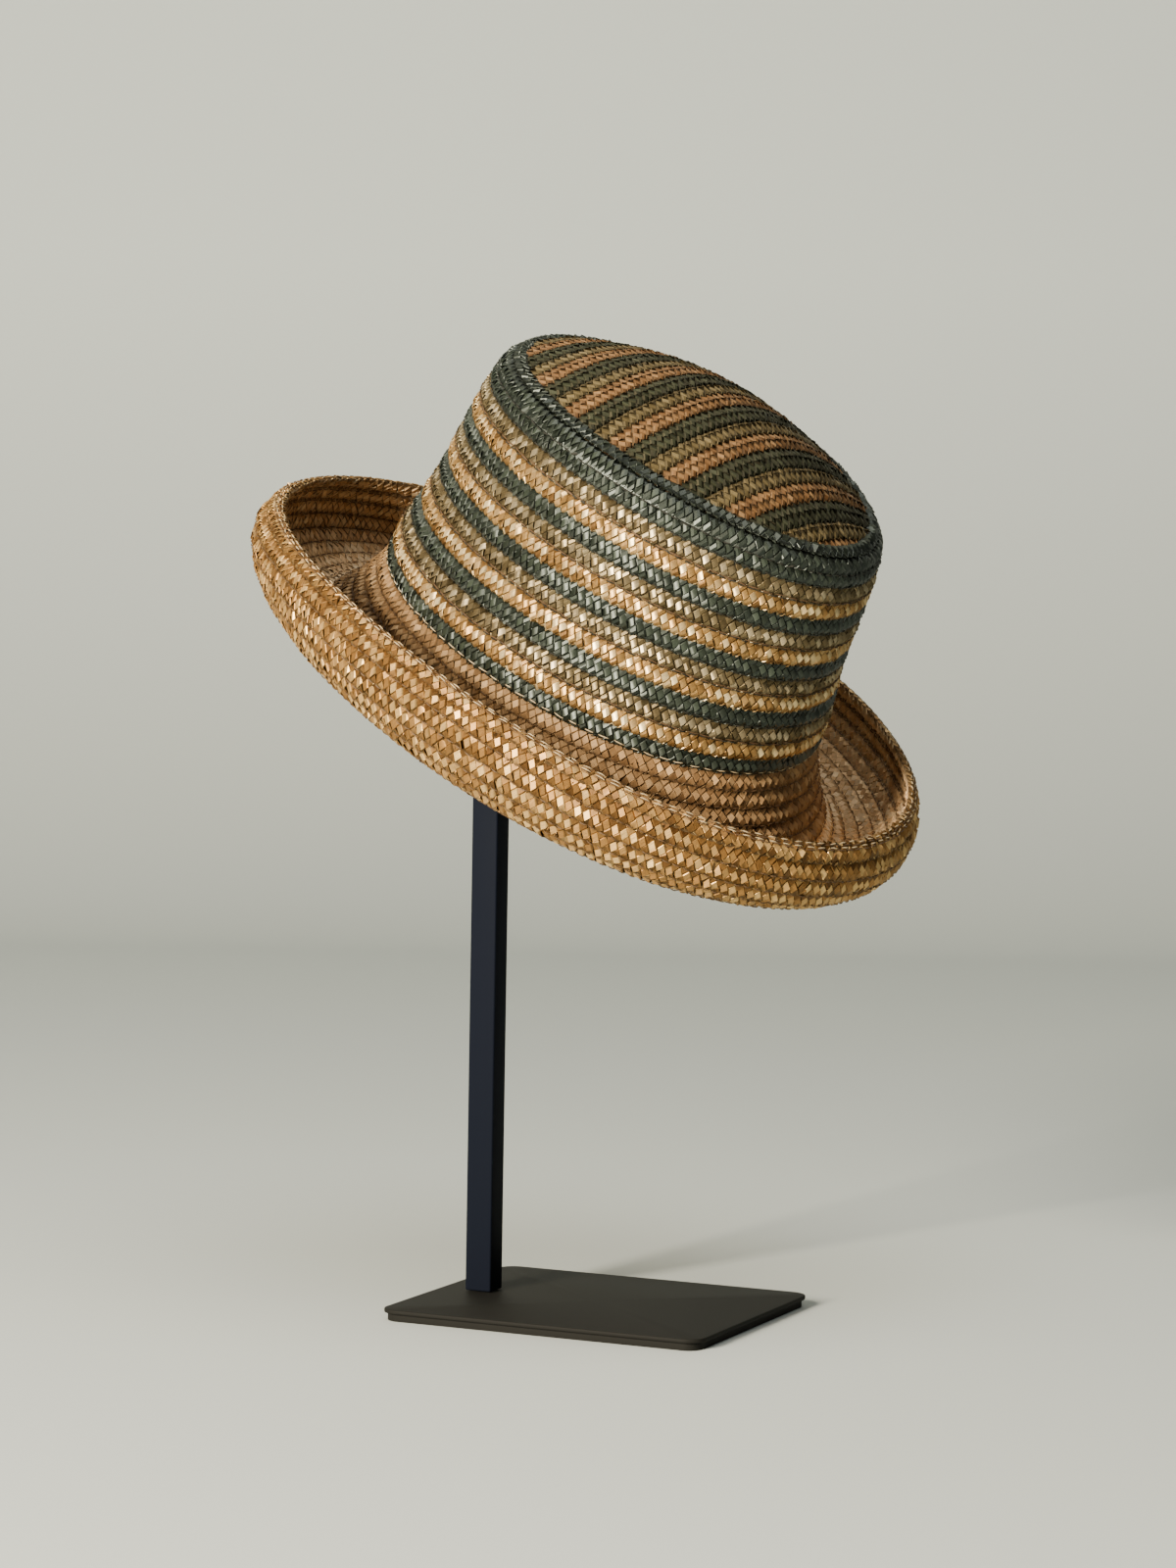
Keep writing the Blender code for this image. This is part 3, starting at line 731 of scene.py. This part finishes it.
# stand: black post and charcoal plate, at the sizes of the solids, their edges rounded
stand = {
    "length": 0.143, "depth": 0.123, "thick": 0.005, "sheet": 0.0018, "undercut": 0.0015,
    "corner": 0.008, "sheetEdge": 0.0005, "footTop": 0.0042, "footEdge": 0.0003,
    "post": 0.0118, "postX": -0.0528, "postGap": 0.0003, "bend": 0.335, "arm": 0.010, "edge": 0.0008,
    "discRadius": 0.028, "discThick": 0.004, "discGap": 0.0004, "discEdge": 0.0006, "sharpAngle": 50,
}
steel = {
    "postColour": (0.0052, 0.0068, 0.0120), "postRoughness": 0.50, "postGloss": 0.02,
    "plateColour": (0.012, 0.012, 0.0105), "plateRoughness": 0.62, "plateGloss": 0.06,
    "grain": 1400.0, "grainDetail": 2.0, "bump": 0.12, "bumpDepth": 0.0001,
}


def coatedSteel(name, colour, roughness, gloss):
    # powder coat: a fine grain in the bump alone
    material, tree, shader = newMaterial(name)
    place = tree.nodes.new("ShaderNodeTexCoord")
    grain = tree.nodes.new("ShaderNodeTexNoise")
    grain.inputs["Scale"].default_value = steel["grain"]
    grain.inputs["Detail"].default_value = steel["grainDetail"]
    tree.links.new(place.outputs["Object"], grain.inputs["Vector"])
    bump = tree.nodes.new("ShaderNodeBump")
    bump.inputs["Strength"].default_value = steel["bump"]
    bump.inputs["Distance"].default_value = steel["bumpDepth"]
    tree.links.new(grain.outputs["Fac"], bump.inputs["Height"])
    tree.links.new(bump.outputs["Normal"], shader.inputs["Normal"])
    shader.inputs["Base Color"].default_value = (*colour, 1)
    shader.inputs["Roughness"].default_value = roughness
    shader.inputs["Specular IOR Level"].default_value = gloss
    return material


postPaint = coatedSteel("post paint", steel["postColour"], steel["postRoughness"], steel["postGloss"])
platePaint = coatedSteel("plate paint", steel["plateColour"], steel["plateRoughness"], steel["plateGloss"])


def roundedOutline(halfLength, halfDepth, corner, steps):
    # a rectangle whose corners are quarter circles
    turn = np.linspace(0, math.pi / 2, steps)
    corners = [(halfLength - corner, halfDepth - corner, 0), (corner - halfLength, halfDepth - corner, 1),
               (corner - halfLength, corner - halfDepth, 2), (halfLength - corner, corner - halfDepth, 3)]
    return np.concatenate([np.stack([x + corner * np.cos(turn + quarter * math.pi / 2),
                                     y + corner * np.sin(turn + quarter * math.pi / 2)], axis=-1)
                           for x, y, quarter in corners])


def stackedLoops(loops):
    # a closed solid through equal loops, with a fan at each end
    rings, count = len(loops), len(loops[0])
    points = np.concatenate(loops + [loops[0].mean(0)[None], loops[-1].mean(0)[None]])
    i, j = np.meshgrid(np.arange(rings - 1), np.arange(count), indexing="ij")
    above, beside = i + 1, (j + 1) % count
    quads = np.stack([i * count + j, i * count + beside, above * count + beside, above * count + j], axis=-1)
    j = np.arange(count)
    beside = (j + 1) % count
    lastLoop, middles = (rings - 1) * count, 0 * j + rings * count
    bottom = np.stack([beside, j, middles], axis=-1)
    top = np.stack([lastLoop + j, lastLoop + beside, middles + 1], axis=-1)
    return points, quads.reshape(-1, 4).tolist() + bottom.tolist() + top.tolist()


def slab(halfLength, halfDepth, corner, levels):
    # the outline carried up through levels of height and inset
    loops = []
    for height, inset in levels:
        outline = roundedOutline(halfLength - inset, halfDepth - inset, corner - inset, 8)
        loops.append(np.concatenate([outline, np.full((len(outline), 1), height)], axis=1))
    return stackedLoops(loops)


def roundedLevels(bottom, top, radius):
    # quarter circles at both ends of a straight side
    turn = np.linspace(0, math.pi / 2, 4)
    lower = [(bottom + radius * (1 - math.cos(t)), radius * (1 - math.sin(t))) for t in turn]
    upper = [(top - radius * (1 - math.cos(t)), radius * (1 - math.sin(t))) for t in turn[::-1]]
    return lower + upper


def alongLine(shape, start, end, roll):
    # stands an upright shape on a line between two points
    points, faces = shape
    run = np.array(end) - np.array(start)
    turn = np.array(Vector(run).to_track_quat("Z", "Y").to_matrix()) @ turned("Z", roll)
    return points @ turn.T + np.array(start), faces


def makeStandPiece(name, shapes, paint, node):
    mesh = bpy.data.meshes.new(name)
    points, faces, count = [], [], 0
    for shapePoints, shapeFaces in shapes:
        points.append(shapePoints)
        faces += [[corner + count for corner in face] for face in shapeFaces]
        count += len(shapePoints)
    mesh.from_pydata(np.concatenate(points), [], faces)
    mesh.update()
    mesh.shade_smooth()
    mesh.set_sharp_from_angle(angle=math.radians(stand["sharpAngle"]))
    mesh.materials.append(paint)
    piece = bpy.data.objects.new(name, mesh)
    bpy.context.scene.collection.objects.link(piece)
    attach(piece, "root")
    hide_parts(node)


def makeStand():
    length, depth, corner, undercut = (stand[key] for key in ("length", "depth", "corner", "undercut"))
    top, edge = stand["thick"], stand["edge"]
    sheet = slab(length / 2, depth / 2, corner, roundedLevels(top - stand["sheet"], top, stand["sheetEdge"]))
    foot = slab(length / 2 - undercut, depth / 2 - undercut, corner - undercut,
                roundedLevels(0.0, stand["footTop"], stand["footEdge"]))
    makeStandPiece("standPlate", [sheet, foot], platePaint, "stand_base")
    half, halfArm, radius = stand["post"] / 2, stand["arm"] / 2, stand["discRadius"]
    post = slab(half, half, edge, roundedLevels(top + stand["postGap"], stand["bend"] + half, edge))
    post = (post[0] + np.array([stand["postX"], 0, 0]), post[1])
    # the hidden disc lies under the tip, and the arm runs from the post's top to its middle
    discTop = tipDome(np.array([0.0]), np.array([radius]))[0]
    discHeight = discTop[2] - crown["wall"] - stand["discThick"] - stand["discGap"]
    middle = onStand(np.array([[crown["shiftX"], crown["shiftY"], discHeight]]))[0]
    rise = hatTurn @ np.array([0.0, 0.0, stand["discThick"]])
    bend = np.array([stand["postX"], 0.0, stand["bend"]])
    reach = middle + rise / 2 - bend
    arm = slab(halfArm, halfArm, edge, roundedLevels(0.0, np.linalg.norm(reach), edge))
    arm = alongLine(arm, bend, bend + reach, 0)
    disc = slab(radius, radius, radius - 1e-5, roundedLevels(0.0, stand["discThick"], stand["discEdge"]))
    disc = alongLine(disc, middle, middle + rise, 0)
    makeStandPiece("standPost", [post, arm, disc], postPaint, "stand_post")


makeStand()
print("stand done")

# camera, matched to the photograph
view = {
    "at": (0.6899, -1.5529, 0.3085), "yaw": 24.21, "pitchDown": 2.956, "roll": 0.953,
    "lens": 94.28, "sensor": 36.0, "farthest": 50.0,
}


def makeCamera():
    data = bpy.data.cameras.new("camera")
    data.lens = view["lens"]
    data.sensor_width = view["sensor"]
    data.clip_end = view["farthest"]
    camera = bpy.data.objects.new("camera", data)
    bpy.context.scene.collection.objects.link(camera)
    turn = (turned("Z", view["yaw"]) @ turned("X", 90 - view["pitchDown"]) @ turned("Z", view["roll"]))
    camera.matrix_world = Matrix.Translation(view["at"]) @ Matrix(turn.tolist()).to_4x4()
    bpy.context.scene.camera = camera


studio = {
    "floor": (0.500, 0.547, 0.525), "wall": (0.66, 0.725, 0.70), "roughness": 0.9,
    "sky": (0.66, 0.66, 0.64), "skyStrength": 0.12,
    "floorSize": 10.0, "nearEdge": -3.0, "sweepFrom": 1.6, "sweepRadius": 0.6, "wallTop": 3.5,
}


def makeFloor():
    # a floor that curves up into a wall behind the hat: straight, a quarter circle, straight
    turn = np.linspace(0, math.pi / 2, 24)
    back = np.concatenate([[studio["nearEdge"]], studio["sweepFrom"] + studio["sweepRadius"] * np.sin(turn),
                           [studio["sweepFrom"] + studio["sweepRadius"]]])
    up = np.concatenate([[0.0], studio["sweepRadius"] * (1 - np.cos(turn)), [studio["wallTop"]]])
    side = np.linspace(-studio["floorSize"] / 2, studio["floorSize"] / 2, 2)
    across, index = np.meshgrid(side, np.arange(len(back)), indexing="ij")
    points = np.stack([across, back[index], up[index]], axis=-1)
    points = points @ turned("Z", view["yaw"]).T
    rows = len(back)
    i = np.arange(rows - 1)
    quads = np.stack([i, i + rows, i + rows + 1, i + 1], axis=-1)
    mesh = bpy.data.meshes.new("floor")
    mesh.from_pydata(points.reshape(-1, 3), [], quads)
    mesh.shade_smooth()
    material, tree, shader = newMaterial("pale floor")
    # the paint grows paler up the curve, because the wall is farther from the lamps
    place = tree.nodes.new("ShaderNodeTexCoord")
    parts = tree.nodes.new("ShaderNodeSeparateXYZ")
    ramp = tree.nodes.new("ShaderNodeValToRGB")
    ramp.color_ramp.elements[0].color = (*studio["floor"], 1)
    ramp.color_ramp.elements[1].position = studio["sweepRadius"]
    ramp.color_ramp.elements[1].color = (*studio["wall"], 1)
    tree.links.new(place.outputs["Object"], parts.inputs["Vector"])
    tree.links.new(parts.outputs["Z"], ramp.inputs["Fac"])
    tree.links.new(ramp.outputs["Color"], shader.inputs["Base Color"])
    shader.inputs["Roughness"].default_value = studio["roughness"]
    mesh.materials.append(material)
    floor = bpy.data.objects.new("floor", mesh)
    bpy.context.scene.collection.objects.link(floor)


lampAim = (0.0, 0.02, 0.28)
lamps = {
    "window": {"from": (-0.54, -2.19, 0.85), "size": (0.55, 0.85), "power": 208, "colour": (1.0, 0.88, 0.71)},
    "ceiling": {"from": (0.3, -0.4, 2.4), "size": (1.6, 1.6), "power": 32, "colour": (1.0, 0.97, 0.92)},
}


def makeLamps():
    # two soft area lamps that face the hat, and a faint even sky
    for name, lamp in lamps.items():
        data = bpy.data.lights.new(name, "AREA")
        data.shape = "RECTANGLE"
        data.size, data.size_y = lamp["size"]
        data.energy = lamp["power"]
        data.color = lamp["colour"]
        light = bpy.data.objects.new(name, data)
        bpy.context.scene.collection.objects.link(light)
        light.location = lamp["from"]
        aim = Vector(lampAim) - Vector(lamp["from"])
        light.rotation_euler = aim.to_track_quat("-Z", "Y").to_euler()
    world = bpy.data.worlds.new("room")
    world.use_nodes = True
    world.node_tree.nodes["Background"].inputs["Color"].default_value = (*studio["sky"], 1)
    world.node_tree.nodes["Background"].inputs["Strength"].default_value = studio["skyStrength"]
    bpy.context.scene.world = world


makeCamera()
makeFloor()
makeLamps()
print("studio done")
